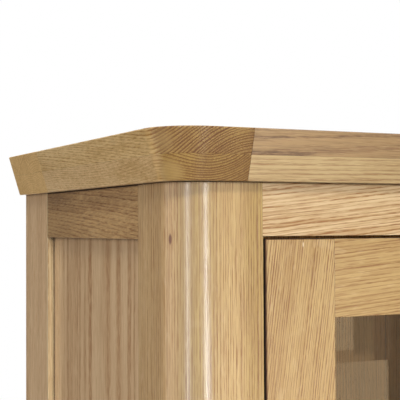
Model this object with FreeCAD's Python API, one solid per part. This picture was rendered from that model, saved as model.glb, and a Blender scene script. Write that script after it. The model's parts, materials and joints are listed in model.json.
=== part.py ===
import FreeCAD, Part
import math
import os
from FreeCAD import Vector

# Oak display cabinet: two glazed doors over two drawers, under a moulded top of two glued layers.
# All lengths are in millimetres. X runs to the right, Y from front to back and Z up from the floor.
# Z is 0 at the soles of the feet, and X and Y are 0 in the middle of the whole cabinet.

# Whole cabinet
overall_height = 1800.0
carcass_width = 864.0
carcass_depth = 358.0
foot_height = 70.0

# Posts and rails of the carcass
post_size = 70.0
post_corner_radius = 28.0
foot_chamfer = 2.0
front_top_rail_height = 40.0
side_top_rail_height = 42.0
middle_rail_height = 40.0
bottom_rail_height = 60.0
rear_rail_thickness = 22.0
rear_middle_rail_height = 40.0
tenon_length = 25.0
tenon_thickness = 8.0
tenon_shoulder = 8.0
arris = 0.8

# Panels and boards
panel_thickness = 12.0
panel_recess = 6.5
panel_groove = 8.0
back_board_thickness = 12.0
back_board_width = 93.0
back_rebate = 10.0
back_tongue = 6.0
back_tongue_thickness = 4.0
back_vee = 2.0
deck_thickness = 18.0
bottom_board_thickness = 18.0
bottom_board_rise = 20.0
bottom_board_housing = 6.0

# Moulded top
layer_thickness = 19.0
upper_overhang = 18.0
lower_overhang = 6.0
lower_corner_radius = 26.0
top_arris = 1.5
edge_strip_inset = 54.0
rear_board_depth = 89.0
batten_size = 20.0

# Drawers
drawer_bay_height = 200.0
divider_thickness = 24.0
drawer_gap = 2.0
drawer_front_thickness = 20.0
drawer_side_thickness = 12.0
drawer_side_drop = 26.0
drawer_rear_room = 4.0
dovetail_lap = 6.0
dovetail_pitch = 42.0
dovetail_width_share = 0.5
dovetail_slope_share = 1 / 6
drawer_base_thickness = 6.0
drawer_base_rise = 10.0
drawer_base_groove = 6.0
runner_width = 22.0
runner_clearance = 0.3

# Doors
door_gap = 2.0
door_thickness = 22.0
rail_behind_door = 3.0
door_stile_width = 60.0
door_rail_height = 60.0
door_tenon_length = 35.0
door_tenon_thickness = 7.0
door_tenon_shoulder = 14.0
glass_rebate_width = 10.0
glass_rebate_front = 10.0
glass_thickness = 4.0
glass_edge_clearance = 1.0
bead_chamfer = 2.5

# Butt hinges
hinges_per_door = 3
hinge_length = 64.0
hinge_end_distance = 160.0
leaf_width = 20.0
leaf_thickness = 1.6
leaf_gap = 0.4
knuckle_radius = 3.2
knuckle_count = 3
knuckle_clearance = 0.3
hinge_pin_radius = 1.5
hinge_pin_clearance = 0.05

# Magnetic catches and their strike plates
catch_width = 40.0
catch_height = 32.0
catch_depth = 14.0
catch_drop = 16.0
catch_distance = 34.0
nose_width = 26.0
nose_height = 10.0
strike_thickness = 1.0
strike_clearance = 0.3

# Turned knobs
knob_reach = 28.0
knob_radius = 16.0
knob_neck_radius = 7.5
knob_foot_radius = 10.0
knob_foot_thickness = 4.0
knob_head_thickness = 14.0
knob_crown = 4.0
knob_rim = 2.0
knob_spigot_radius = 4.5
knob_spigot_length = 12.0
knob_sides = 24

# Shelves and their bearers
shelf_names = ("shelf_lower", "shelf_middle", "shelf_upper")
shelf_thickness = 18.0
shelf_front_setback = 30.0
shelf_clearance = 2.0
bearer_size = 20.0

overrun = 5.0
touch = 0.001

# Places that the pieces share
rail_thickness = door_thickness + rail_behind_door
left = -carcass_width / 2
post_in = left + post_size
front_reach = max(knob_reach, upper_overhang)
front = (front_reach - carcass_depth) / 2
back = front + carcass_depth
boards = back - back_board_thickness
carcass_top = overall_height - 2 * layer_thickness
bay_bottom = foot_height + bottom_rail_height
bay_top = bay_bottom + drawer_bay_height
deck_top = bay_top + middle_rail_height
deck_bottom = deck_top - deck_thickness
door_bottom = deck_top + door_gap
door_top = carcass_top - front_top_rail_height - door_gap
bottom_board_base = foot_height + bottom_board_rise
bottom_board_top = bottom_board_base + bottom_board_thickness

nodes = {}


def block(x, y, z):
    """A rectangular block between a pair of x, a pair of y and a pair of z places."""
    return Part.makeBox(x[1] - x[0], y[1] - y[0], z[1] - z[0], Vector(x[0], y[0], z[0]))


def prism(points, run):
    """A solid with the outline of the points, pushed along the vector run."""
    return Part.Face(Part.makePolygon(points + points[:1])).extrude(run)


def mirrored(shape):
    """The same piece on the other side of the cabinet."""
    return shape.mirror(Vector(0, 0, 0), Vector(1, 0, 0))


def joined(shapes):
    """One clean solid from pieces that meet or overlap."""
    return shapes[0].fuse(shapes[1:]).removeSplitter()


def ease(shape, axis, places, size=arris):
    """Plane off the long edges that run along an axis (0, 1 or 2) through places on the other two."""
    across = [i for i in range(3) if i != axis]
    chosen = []
    for edge in shape.Edges:
        ends = [edge.Vertexes[0].Point, edge.Vertexes[-1].Point]
        for place in places:
            off = [abs(end[i] - value) for end in ends for i, value in zip(across, place)]
            if max(off) < touch:
                chosen.append(edge)
    return shape.makeChamfer(size, chosen) if chosen else shape


def cut_all(shape, others):
    """The shape with the room for the others taken out of it."""
    for other in others:
        shape = shape.cut(other)
    return shape


def rail_along_x(y, z):
    """A rail between the left and right posts, with a tenon at each end."""
    cheek = (y[1] - y[0] - tenon_thickness) / 2
    core = block(
        (post_in - tenon_length, tenon_length - post_in),
        (y[0] + cheek, y[1] - cheek),
        (z[0] + tenon_shoulder, z[1] - tenon_shoulder),
    )
    return joined([block((post_in, -post_in), y, z), core])


def side_rail(z):
    """A left side rail between the front and rear posts, flush with them outside, with its tenons."""
    cheek = (rail_thickness - tenon_thickness) / 2
    y = (front + post_size, back - post_size)
    core = block(
        (left + cheek, left + rail_thickness - cheek),
        (y[0] - tenon_length, y[1] + tenon_length),
        (z[0] + tenon_shoulder, z[1] - tenon_shoulder),
    )
    return joined([block((left, left + rail_thickness), y, z), core])


def notched_board(x_side, y, z):
    """A board that fills the plan between the sides and is cut out round the four posts."""
    main = block((post_in, -post_in), y, z)
    wings = block((x_side, -x_side), (front + post_size, back - post_size), z)
    return joined([main, wings])


# Rails. The front ones are flush with the posts, and the rear ones stand in front of the back boards.
front_y = (front, front + rail_thickness)
rear_y = (boards - rear_rail_thickness, boards)
front_rail_top = rail_along_x(front_y, (door_top + door_gap, carcass_top))
front_rail_middle = rail_along_x(front_y, (bay_top, deck_top))
front_rail_bottom = rail_along_x(front_y, (foot_height, bay_bottom))
rear_rails = [
    rail_along_x(rear_y, (carcass_top - front_top_rail_height, carcass_top)),
    rail_along_x(rear_y, (deck_bottom - rear_middle_rail_height, deck_bottom)),
    rail_along_x(rear_y, (foot_height, bay_bottom)),
]
side_rail_top = side_rail((carcass_top - side_top_rail_height, carcass_top))
side_rail_bottom = side_rail((foot_height, bay_bottom))

# Side panel, a wide board whose edges stand in grooves in the posts and rails
panel_x = (left + panel_recess, left + panel_recess + panel_thickness)
side_panel = block(
    panel_x,
    (front + post_size - panel_groove, back - post_size + panel_groove),
    (bay_bottom - panel_groove, carcass_top - side_top_rail_height + panel_groove),
)

# Bottom board, housed in the rails all round, and the deck board over the drawers
bottom_board = notched_board(
    left + rail_thickness - bottom_board_housing,
    (front_y[1] - bottom_board_housing, rear_y[0] + bottom_board_housing),
    (bottom_board_base, bottom_board_top),
)
deck_board = notched_board(panel_x[1], (front_y[1], boards), (deck_bottom, deck_top))

housed = [bottom_board]
front_rail_bottom = cut_all(front_rail_bottom, housed)
rear_rails[2] = cut_all(rear_rails[2], housed)
side_rail_bottom = cut_all(side_rail_bottom, housed + [side_panel])
side_rail_top = cut_all(side_rail_top, [side_panel])

front_rail_top = ease(front_rail_top, 0, [(front, door_top + door_gap)])
front_rail_middle = ease(front_rail_middle, 0, [(front, bay_top), (front, deck_top)])
front_rail_bottom = ease(front_rail_bottom, 0, [(front, foot_height), (front, bay_bottom)])
side_rail_top = ease(side_rail_top, 1, [(left, carcass_top - side_top_rail_height)])
side_rail_bottom = ease(side_rail_bottom, 1, [(left, foot_height), (left, bay_bottom)])


def back_board(x, first, last):
    """One upright back board: a tongue to the right, a groove to the left, small vees inside."""
    y0 = boards
    y1 = back
    middle = (y0 + y1) / 2
    half = back_tongue_thickness / 2
    vee_left = 0 if first else back_vee
    vee_right = 0 if last else back_vee
    points = [Vector(x[0], y1, foot_height)]
    if not first:
        points += [
            Vector(x[0], middle + half, foot_height),
            Vector(x[0] + back_tongue, middle + half, foot_height),
            Vector(x[0] + back_tongue, middle - half, foot_height),
            Vector(x[0], middle - half, foot_height),
            Vector(x[0], y0 + vee_left, foot_height),
        ]
    points.append(Vector(x[0] + vee_left, y0, foot_height))
    points.append(Vector(x[1] - vee_right, y0, foot_height))
    if not last:
        points += [
            Vector(x[1], y0 + vee_right, foot_height),
            Vector(x[1], middle - half, foot_height),
            Vector(x[1] + back_tongue, middle - half, foot_height),
            Vector(x[1] + back_tongue, middle + half, foot_height),
            Vector(x[1], middle + half, foot_height),
        ]
    points.append(Vector(x[1], y1, foot_height))
    return prism(points, Vector(0, 0, carcass_top - foot_height))


# Back: tongued and grooved boards that stand in rebates in the rear posts
back_x = (post_in - back_rebate, back_rebate - post_in)
board_count = max(3, round((back_x[1] - back_x[0]) / back_board_width))
board_pitch = (back_x[1] - back_x[0]) / board_count
back_boards = []
for i in range(board_count):
    board_x = (back_x[0] + i * board_pitch, back_x[0] + (i + 1) * board_pitch)
    back_boards.append(back_board(board_x, i == 0, i == board_count - 1))
back_rebate_room = block(back_x, (boards, back + overrun), (foot_height, carcass_top + overrun))

# Hinge: the leaves are let into the edges of the post and the door, and the knuckles stand in front
let_in = leaf_thickness + (leaf_gap - door_gap) / 2
pivot_x = post_in + door_gap / 2
pivot_y = front - knuckle_radius - knuckle_clearance
post_leaf_x = (post_in - let_in, post_in - let_in + leaf_thickness)
door_leaf_x = (post_leaf_x[1] + leaf_gap, post_leaf_x[1] + leaf_gap + leaf_thickness)
knuckle_pitch = (hinge_length + knuckle_clearance) / knuckle_count
hinge_span = door_top - door_bottom - 2 * hinge_end_distance


def hinge_leaf(x, bottom, first_knuckle):
    """A plate with every second knuckle on it, from first_knuckle up."""
    pieces = [block(x, (front, front + leaf_width), (bottom, bottom + hinge_length))]
    for i in range(first_knuckle, knuckle_count, 2):
        z = (bottom + i * knuckle_pitch, bottom + (i + 1) * knuckle_pitch - knuckle_clearance)
        pieces.append(block(x, (pivot_y, front + touch + leaf_thickness), z))
        pieces.append(Part.makeCylinder(knuckle_radius, z[1] - z[0], Vector(pivot_x, pivot_y, z[0])))
    return pieces


post_leaves = []
door_leaves = []
for i in range(hinges_per_door):
    middle = door_bottom + hinge_end_distance + i * hinge_span / (hinges_per_door - 1)
    bottom = middle - hinge_length / 2
    base = Vector(pivot_x, pivot_y, bottom)
    pin = Part.makeCylinder(hinge_pin_radius, hinge_length, base)
    bore = Part.makeCylinder(hinge_pin_radius + hinge_pin_clearance, hinge_length, base)
    post_leaves.append(joined(hinge_leaf(post_leaf_x, bottom, 0) + [pin]))
    door_leaves.append(joined(hinge_leaf(door_leaf_x, bottom, 1)).cut(bore))

# Shelves: notched round the posts like the deck, loose on bearers that are fixed to the side panels
shelf_pitch = (door_top - deck_top) / (len(shelf_names) + 1)
shelf_y = (front + shelf_front_setback, boards - shelf_clearance)
left_bearers = []
for i, name in enumerate(shelf_names):
    shelf_base = deck_top + (i + 1) * shelf_pitch - shelf_thickness / 2
    shelf_z = (shelf_base, shelf_base + shelf_thickness)
    main = block((post_in + shelf_clearance, -post_in - shelf_clearance), shelf_y, shelf_z)
    wing_x = panel_x[1] + shelf_clearance
    wing_y = (front + post_size + shelf_clearance, back - post_size - shelf_clearance)
    shelf = joined([main, block((wing_x, -wing_x), wing_y, shelf_z)])
    nodes[name] = ease(shelf, 0, [(shelf_y[0], shelf_z[0]), (shelf_y[0], shelf_z[1])])
    bearer_z = (shelf_base - bearer_size, shelf_base)
    bearer_y = (front + post_size, back - post_size)
    left_bearers.append(block((panel_x[1], panel_x[1] + bearer_size), bearer_y, bearer_z))

# Front posts: the outer corner is well rounded, and mortises, grooves and hinges are let in
def post_blank(y, corner_radius):
    """A post with its outer corner at y[0] rounded, if the radius says so, and its sole chamfered."""
    post = block((left, post_in), y, (0, carcass_top))
    if corner_radius:
        place = Vector(left, y[0], 0)
        corner = [
            edge
            for edge in post.Edges
            if all(Vector(v.X, v.Y, 0).distanceToPoint(place) < touch for v in edge.Vertexes)
        ]
        post = post.makeFillet(corner_radius, corner)
    sole = [edge for edge in post.Edges if all(abs(v.Z) < touch for v in edge.Vertexes)]
    return post.makeChamfer(foot_chamfer, sole)


front_post = ease(post_blank((front, front + post_size), post_corner_radius), 2, [(post_in, front)])
rear_post = ease(post_blank((back - post_size, back), 0), 2, [(left, back)])
front_post = cut_all(
    front_post,
    [front_rail_top, front_rail_middle, front_rail_bottom, side_rail_top, side_rail_bottom, side_panel]
    + post_leaves,
)
rear_post = cut_all(
    rear_post, rear_rails + [side_rail_top, side_rail_bottom, side_panel, back_rebate_room]
)

# Divider between the drawers, which shows its front edge between the rails
divider_x = (-divider_thickness / 2, divider_thickness / 2)
drawer_divider = joined(
    [
        block(divider_x, (front, front_y[1]), (bay_bottom, bay_top)),
        block(divider_x, (front_y[1], rear_y[0]), (bottom_board_top, deck_bottom)),
    ]
)

# Runners under the drawer sides and kickers over them, the same plan on both sides of each drawer
drawer_x = (post_in + drawer_gap, divider_x[0] - drawer_gap)
drawer_base = bay_bottom + drawer_gap
drawer_top = bay_top - drawer_gap
runner_y = (front_y[1], rear_y[0])
runner_xs = (
    (post_in, post_in + runner_width),
    (divider_x[0] - runner_width, divider_x[0]),
)
left_runners = []
left_kickers = []
for x in runner_xs:
    left_runners.append(block(x, runner_y, (bottom_board_top, drawer_base - runner_clearance)))
    left_kickers.append(block(x, runner_y, (bay_top, deck_bottom)))


def dovetailed_side(x, y, z, front_tail, rear_tail):
    """A drawer side with a row of tails at each end, which widen towards their ends."""
    tail_count = max(2, round((z[1] - z[0]) / dovetail_pitch))
    pitch = (z[1] - z[0]) / tail_count
    half = pitch * dovetail_width_share / 2
    pieces = [block(x, (y[0] + front_tail, y[1] - rear_tail), z)]
    for i in range(tail_count):
        centre = z[0] + (i + 0.5) * pitch
        for shoulder, end in ((y[0] + front_tail, y[0]), (y[1] - rear_tail, y[1])):
            flare = abs(end - shoulder) * dovetail_slope_share
            outline = [
                Vector(x[0], shoulder, centre - half),
                Vector(x[0], end, centre - half - flare),
                Vector(x[0], end, centre + half + flare),
                Vector(x[0], shoulder, centre + half),
            ]
            pieces.append(prism(outline, Vector(x[1] - x[0], 0, 0)))
    return joined(pieces)


def knob(x, z):
    """A knob turned about the Y axis, as flats: spigot, foot, waisted neck and a crowned head."""
    head_base = knob_reach - knob_head_thickness
    face_edge = knob_reach - knob_crown
    outline = (
        (knob_spigot_radius, -knob_spigot_length),
        (knob_spigot_radius, 0),
        (knob_foot_radius, 0),
        (knob_foot_radius, knob_foot_thickness),
        (knob_neck_radius, (knob_foot_thickness + head_base) / 2),
        (knob_radius - knob_rim, head_base),
        (knob_radius, head_base + knob_rim),
        (knob_radius, face_edge - knob_rim),
        (knob_radius - knob_rim, face_edge),
        (knob_radius / 2, face_edge + knob_crown * 3 / 4),
        (knob_radius / 4, knob_reach),
    )
    turns = [2 * math.pi * i / knob_sides for i in range(knob_sides + 1)]
    rings = [
        [Vector(x + r * math.cos(turn), front - reach, z + r * math.sin(turn)) for turn in turns]
        for r, reach in outline
    ]
    flats = [Part.Face(Part.makePolygon(ring)) for ring in (rings[0], rings[-1])]
    for near, far in zip(rings, rings[1:]):
        for i in range(knob_sides):
            corners = [near[i], near[i + 1], far[i + 1], far[i], near[i]]
            flats.append(Part.Face(Part.makePolygon(corners)))
    solid = Part.Solid(Part.Shell(flats))
    if solid.Volume < 0:
        solid.reverse()
    return solid


# Left drawer: sides dovetailed into the front and the back, a base in grooves, a knob in the middle
front_inside = front + drawer_front_thickness
drawer_end = rear_y[0] - drawer_rear_room
side_y = (front + dovetail_lap, drawer_end)
side_z = (drawer_base, drawer_top - drawer_side_drop)
base_z = (drawer_base + drawer_base_rise, drawer_base + drawer_base_rise + drawer_base_thickness)
side_xs = (
    (drawer_x[0], drawer_x[0] + drawer_side_thickness),
    (drawer_x[1] - drawer_side_thickness, drawer_x[1]),
)
front_tail = drawer_front_thickness - dovetail_lap
side_blanks = [dovetailed_side(x, side_y, side_z, front_tail, drawer_side_thickness) for x in side_xs]
drawer_panel = block(
    (side_xs[0][1] - drawer_base_groove, side_xs[1][0] + drawer_base_groove),
    (front_inside - drawer_base_groove, drawer_end),
    base_z,
)
drawer_back = block(drawer_x, (drawer_end - drawer_side_thickness, drawer_end), (base_z[1], side_z[1]))
drawer_back = cut_all(drawer_back, side_blanks)
drawer_sides = [cut_all(side, [drawer_panel]) for side in side_blanks]
drawer_knob = knob(sum(drawer_x) / 2, (drawer_base + drawer_top) / 2)
drawer_front = block(drawer_x, (front, front_inside), (drawer_base, drawer_top))
drawer_front = ease(drawer_front, 0, [(front, drawer_base), (front, drawer_top)])
drawer_front = ease(drawer_front, 2, [(drawer_x[0], front), (drawer_x[1], front)])
drawer_front = cut_all(drawer_front, side_blanks + [drawer_panel, drawer_knob])

# Left door: stiles through, rails tenoned between them, glass in a rebate behind mitred beads
door_x = (post_in + door_gap, -door_gap / 2)
door_y = (front, front + door_thickness)
opening_x = (door_x[0] + door_stile_width, door_x[1] - door_stile_width)
opening_z = (door_bottom + door_rail_height, door_top - door_rail_height)
rebate_x = (opening_x[0] - glass_rebate_width, opening_x[1] + glass_rebate_width)
rebate_z = (opening_z[0] - glass_rebate_width, opening_z[1] + glass_rebate_width)
glass_y = (front + glass_rebate_front, front + glass_rebate_front + glass_thickness)
rebate_room = block(rebate_x, (glass_y[0], door_y[1] + overrun), rebate_z)


def door_rail(z):
    """A door rail between the stiles with its tenons, rebated for the glass."""
    cheek = (door_thickness - door_tenon_thickness) / 2
    core = block(
        (opening_x[0] - door_tenon_length, opening_x[1] + door_tenon_length),
        (door_y[0] + cheek, door_y[1] - cheek),
        (z[0] + door_tenon_shoulder, z[1] - door_tenon_shoulder),
    )
    return joined([block(opening_x, door_y, z), core])


door_rail_bottom = door_rail((door_bottom, opening_z[0]))
door_rail_top = door_rail((opening_z[1], door_top))
door_rail_bottom = ease(door_rail_bottom, 0, [(front, door_bottom)])
door_rail_top = ease(door_rail_top, 0, [(front, door_top)])
door_rails = [door_rail_bottom, door_rail_top]


def door_stile(x, outside):
    """A full-height stile, eased on its outside front edge and at its ends, and mortised."""
    stile = block(x, door_y, (door_bottom, door_top))
    stile = ease(stile, 2, [(outside, front)])
    stile = ease(stile, 0, [(front, door_bottom), (front, door_top)])
    return cut_all(stile, door_rails + [rebate_room])


door_knob = knob(door_x[1] - door_stile_width / 2, (door_bottom + door_top) / 2)
hinge_stile = cut_all(door_stile((door_x[0], opening_x[0]), door_x[0]), door_leaves)
meeting_stile = door_stile((opening_x[1], door_x[1]), door_x[1]).cut(door_knob)
door_rail_bottom = door_rail_bottom.cut(rebate_room)
door_rail_top = door_rail_top.cut(rebate_room)
glass_edge = glass_rebate_width - glass_edge_clearance
door_glass = block(
    (opening_x[0] - glass_edge, opening_x[1] + glass_edge),
    glass_y,
    (opening_z[0] - glass_edge, opening_z[1] + glass_edge),
)
corner_shares = ((0, 0), (1, 0), (1, 1), (0, 1))
outer_corners = [Vector(rebate_x[i], glass_y[1], rebate_z[k]) for i, k in corner_shares]
inner_corners = [Vector(opening_x[i], glass_y[1], opening_z[k]) for i, k in corner_shares]
door_beads = []
for i in range(len(corner_shares)):
    k = (i + 1) % len(corner_shares)
    outline = [outer_corners[i], outer_corners[k], inner_corners[k], inner_corners[i]]
    bead = prism(outline, Vector(0, door_y[1] - glass_y[1], 0))
    bead = ease(bead, 0, [(door_y[1], inner_corners[i].z)], bead_chamfer)
    bead = ease(bead, 2, [(inner_corners[i].x, door_y[1])], bead_chamfer)
    door_beads.append(bead)

# Magnetic catch behind the top rail, whose nose meets a strike plate on the back of the door
catch_z = (door_top + door_gap - catch_drop, door_top + door_gap - catch_drop + catch_height)
nose_x = (-catch_distance - nose_width / 2, -catch_distance + nose_width / 2)
nose_z = (catch_z[0], catch_z[0] + nose_height)
strike_y = (door_y[1], door_y[1] + strike_thickness)
catch_body = block(
    (-catch_distance - catch_width / 2, -catch_distance + catch_width / 2),
    (front_y[1], front_y[1] + catch_depth),
    catch_z,
)
catch_nose = block(nose_x, (strike_y[1] + strike_clearance, front_y[1]), nose_z)
left_catch = joined([catch_body, catch_nose])
strike = block(nose_x, strike_y, nose_z)


def top_outline(overhang, radius, z):
    """The plan of the top at one height: two round front corners, a straight back."""
    x = left - overhang
    y = front - overhang
    near = radius * (1 - math.sqrt(1 / 2))
    rim = [
        Part.LineSegment(Vector(x, back, z), Vector(x, y + radius, z)),
        Part.Arc(Vector(x, y + radius, z), Vector(x + near, y + near, z), Vector(x + radius, y, z)),
        Part.LineSegment(Vector(x + radius, y, z), Vector(-x - radius, y, z)),
        Part.Arc(Vector(-x - radius, y, z), Vector(-x - near, y + near, z), Vector(-x, y + radius, z)),
        Part.LineSegment(Vector(-x, y + radius, z), Vector(-x, back, z)),
        Part.LineSegment(Vector(-x, back, z), Vector(x, back, z)),
    ]
    return Part.Wire([edge.toShape() for edge in rim])


# Top: two layers, tapered downwards on three sides, cut from one form into its glued strips
upper_corner_radius = lower_corner_radius + upper_overhang - lower_overhang
lower_plan = top_outline(lower_overhang, lower_corner_radius, carcass_top)
upper_plan = top_outline(upper_overhang, upper_corner_radius, overall_height)
top_form = Part.makeLoft([lower_plan, upper_plan], True, True)
upper_arrises = []
for edge in top_form.Edges:
    ends = [vertex.Point for vertex in edge.Vertexes]
    at_top = all(abs(end.z - overall_height) < touch for end in ends)
    at_back = all(abs(end.y - back) < touch for end in ends)
    if at_top and not at_back:
        upper_arrises.append(edge)
top_form = top_form.makeChamfer(top_arris, upper_arrises)
lower_layer = (carcass_top, carcass_top + layer_thickness)
upper_layer = (carcass_top + layer_thickness, overall_height)
strip_x = left + edge_strip_inset
strip_y = front + edge_strip_inset
rear_board_y = back - rear_board_depth
outside_x = left - upper_overhang - overrun
outside_y = front - upper_overhang - overrun


def top_piece(x, y, z):
    """The part of the moulded top between these places."""
    return top_form.common(block(x, y, z))


for layer, z in (("upper", upper_layer), ("lower", lower_layer)):
    side_strip = top_piece((outside_x, strip_x), (outside_y, rear_board_y), z)
    nodes["top_front_strip_" + layer] = top_piece((strip_x, -strip_x), (outside_y, strip_y), z)
    nodes["top_side_strip_left_" + layer] = side_strip
    nodes["top_side_strip_right_" + layer] = mirrored(side_strip)
nodes["top_rear_board"] = Part.makeCompound(
    [top_piece((outside_x, -outside_x), (rear_board_y, back), z) for z in (upper_layer, lower_layer)]
)
nodes["top_field_board"] = top_piece((strip_x, -strip_x), (strip_y, rear_board_y), upper_layer)
batten = block(
    (left + rail_thickness, left + rail_thickness + batten_size),
    (front + post_size, back - post_size),
    (carcass_top - batten_size, carcass_top),
)
nodes["top_battens"] = Part.makeCompound([batten, mirrored(batten)])

# Pieces that are the same on both sides, each a node of its own
pairs = {
    "post_front": front_post,
    "post_rear": rear_post,
    "side_rail_top": side_rail_top,
    "side_rail_bottom": side_rail_bottom,
    "side_panel": side_panel,
    "hinge_post_leaves": Part.makeCompound(post_leaves),
}
for name, shape in pairs.items():
    nodes[name + "_left"] = shape
    nodes[name + "_right"] = mirrored(shape)
door_pieces = {
    "hinge_stile": hinge_stile,
    "meeting_stile": meeting_stile,
    "rail_top": door_rail_top,
    "rail_bottom": door_rail_bottom,
    "glass": door_glass,
    "beads": Part.makeCompound(door_beads),
    "knob": door_knob,
    "hinge_leaves": Part.makeCompound(door_leaves + [strike]),
}
drawer_pieces = {
    "front": drawer_front,
    "box": Part.makeCompound(drawer_sides + [drawer_back]),
    "base": drawer_panel,
    "knob": drawer_knob,
}
for prefix, pieces in (("door", door_pieces), ("drawer", drawer_pieces)):
    for name, shape in pieces.items():
        nodes[prefix + "_left_" + name] = shape
        nodes[prefix + "_right_" + name] = mirrored(shape)

# Pieces in the middle, and groups of small like pieces
nodes["front_rail_top"] = front_rail_top
nodes["front_rail_middle"] = front_rail_middle
nodes["front_rail_bottom"] = front_rail_bottom
nodes["rear_rails"] = Part.makeCompound(rear_rails)
nodes["back_boards"] = Part.makeCompound(back_boards)
nodes["deck_board"] = deck_board
nodes["bottom_board"] = bottom_board
nodes["drawer_divider"] = drawer_divider
groups = {
    "drawer_runners": left_runners,
    "drawer_kickers": left_kickers,
    "shelf_bearers": left_bearers,
    "door_catches": [left_catch],
}
for name, shapes in groups.items():
    nodes[name] = Part.makeCompound(shapes + [mirrored(shape) for shape in shapes])

os.makedirs("parts", exist_ok=True)
for name, shape in nodes.items():
    shape.exportStep("parts/" + name + ".step")
print(len(nodes), "nodes,", sum(len(shape.Solids) for shape in nodes.values()), "solids")
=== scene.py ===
import json
import math

import bpy
import numpy as np
from mathutils import Euler, Matrix, Vector

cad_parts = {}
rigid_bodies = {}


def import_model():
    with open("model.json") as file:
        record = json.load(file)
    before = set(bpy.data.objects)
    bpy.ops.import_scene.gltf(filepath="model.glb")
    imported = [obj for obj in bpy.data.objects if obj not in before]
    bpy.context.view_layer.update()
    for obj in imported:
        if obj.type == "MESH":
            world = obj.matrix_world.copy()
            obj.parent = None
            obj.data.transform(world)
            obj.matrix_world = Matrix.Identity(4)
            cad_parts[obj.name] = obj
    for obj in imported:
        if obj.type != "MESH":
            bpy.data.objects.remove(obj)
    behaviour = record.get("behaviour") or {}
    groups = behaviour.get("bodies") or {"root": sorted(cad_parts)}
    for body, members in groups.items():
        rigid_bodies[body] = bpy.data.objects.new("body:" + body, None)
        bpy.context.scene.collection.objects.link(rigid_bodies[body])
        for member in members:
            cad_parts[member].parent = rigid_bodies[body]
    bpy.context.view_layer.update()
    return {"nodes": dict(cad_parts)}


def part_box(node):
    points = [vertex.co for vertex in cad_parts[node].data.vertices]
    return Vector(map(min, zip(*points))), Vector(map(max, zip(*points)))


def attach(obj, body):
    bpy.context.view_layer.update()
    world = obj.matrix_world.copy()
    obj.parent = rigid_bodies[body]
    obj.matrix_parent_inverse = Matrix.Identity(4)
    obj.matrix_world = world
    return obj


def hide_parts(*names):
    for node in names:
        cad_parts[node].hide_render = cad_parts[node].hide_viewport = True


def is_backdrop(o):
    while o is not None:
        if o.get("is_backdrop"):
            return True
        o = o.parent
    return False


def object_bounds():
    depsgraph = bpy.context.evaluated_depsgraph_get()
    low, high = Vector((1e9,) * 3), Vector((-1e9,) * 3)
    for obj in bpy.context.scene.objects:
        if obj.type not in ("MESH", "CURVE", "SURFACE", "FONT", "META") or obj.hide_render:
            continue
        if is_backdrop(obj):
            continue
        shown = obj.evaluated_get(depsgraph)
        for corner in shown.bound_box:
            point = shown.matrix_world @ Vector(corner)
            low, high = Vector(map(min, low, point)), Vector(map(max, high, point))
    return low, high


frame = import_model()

# Front posts
# Solid oak, planed square with the outer corner worked to a large round. The rails are tenoned into
# them, and they run on below the carcass as its front feet.
post_low, post_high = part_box("post_front_left")
post_round = 0.028
arris = 0.001
joint_arris = 0.0004
sole_arris = 0.002
arc_steps = 14
arris_steps = 3
sharp_angle = math.radians(28)
weld_reach = 0.00001
white = (1.0, 1.0, 1.0, 1.0)


def shade(red, green, blue):
    """A colour written as screen values from 0 to 255, given as the linear values that nodes take."""
    screen = np.array((red, green, blue)) / 255
    linear = np.where(screen <= 0.04045, screen / 12.92, ((screen + 0.055) / 1.055) ** 2.4)
    return (*linear.tolist(), 1.0)


def put(tree, kind, sockets, **settings):
    """Add a node, set its settings, and give each named socket its value or its link."""
    node = tree.nodes.new("ShaderNode" + kind)
    for name, value in settings.items():
        setattr(node, name, value)
    for name, value in sockets.items():
        if isinstance(value, bpy.types.NodeSocket):
            tree.links.new(value, node.inputs[name])
        else:
            node.inputs[name].default_value = value
    return node


def calc(tree, operation, *values, clamp=False):
    """The result socket of one Math node."""
    return put(tree, "Math", dict(enumerate(values)), operation=operation, use_clamp=clamp).outputs[0]


def reckon(tree, operation, *values):
    """The vector result of one Vector Math node."""
    return put(tree, "VectorMath", dict(enumerate(values)), operation=operation).outputs[0]


def scaled(tree, vector, factor):
    """A vector times a number."""
    return put(tree, "VectorMath", {0: vector, 3: factor}, operation="SCALE").outputs[0]


def length(tree, vector):
    """How long a vector is."""
    return put(tree, "VectorMath", {0: vector}, operation="LENGTH").outputs["Value"]


def split(tree, vector):
    """The three numbers of a vector."""
    return put(tree, "SeparateXYZ", {0: vector}).outputs


def object_place(tree):
    """Where a point of the surface lies, in the cabinet's own coordinates."""
    return put(tree, "TexCoord", {}).outputs["Object"]


def between(tree, value, low, high):
    """How far a value is from low to high, eased at both ends, from 0 to 1."""
    sockets = {"Value": value, "From Min": low, "From Max": high}
    return put(tree, "MapRange", sockets, interpolation_type="SMOOTHSTEP").outputs[0]


def mixed(tree, share, first, second):
    """The number that lies a share of the way from the first to the second."""
    return put(tree, "Mix", {0: share, 2: first, 3: second}, data_type="FLOAT").outputs[0]


def blended(tree, share, first, second, how="MIX"):
    """The colour that a Mix node makes from two colours."""
    mix = put(tree, "Mix", {0: share, 6: first, 7: second}, data_type="RGBA", blend_type=how)
    return mix.outputs[2]


def noise(tree, vector, scale, detail=2.0, roughness=0.5, color=False):
    """Noise over a vector times a scale: its colour as three numbers, or its plain value."""
    sockets = {
        "Vector": reckon(tree, "MULTIPLY", vector, scale),
        "Scale": 1.0,
        "Detail": detail,
        "Roughness": roughness,
    }
    return put(tree, "TexNoise", sockets).outputs["Color" if color else "Fac"]


def bare_material(name):
    """A material that has no nodes yet, and its tree."""
    material = bpy.data.materials.new(name)
    material.use_nodes = True
    material.node_tree.nodes.clear()
    return material, material.node_tree


def surfaced(tree, sockets):
    """End a material's tree in one Principled shader that has these sockets."""
    surface = put(tree, "BsdfPrincipled", sockets)
    put(tree, "OutputMaterial", {"Surface": surface.outputs[0]})


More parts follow.
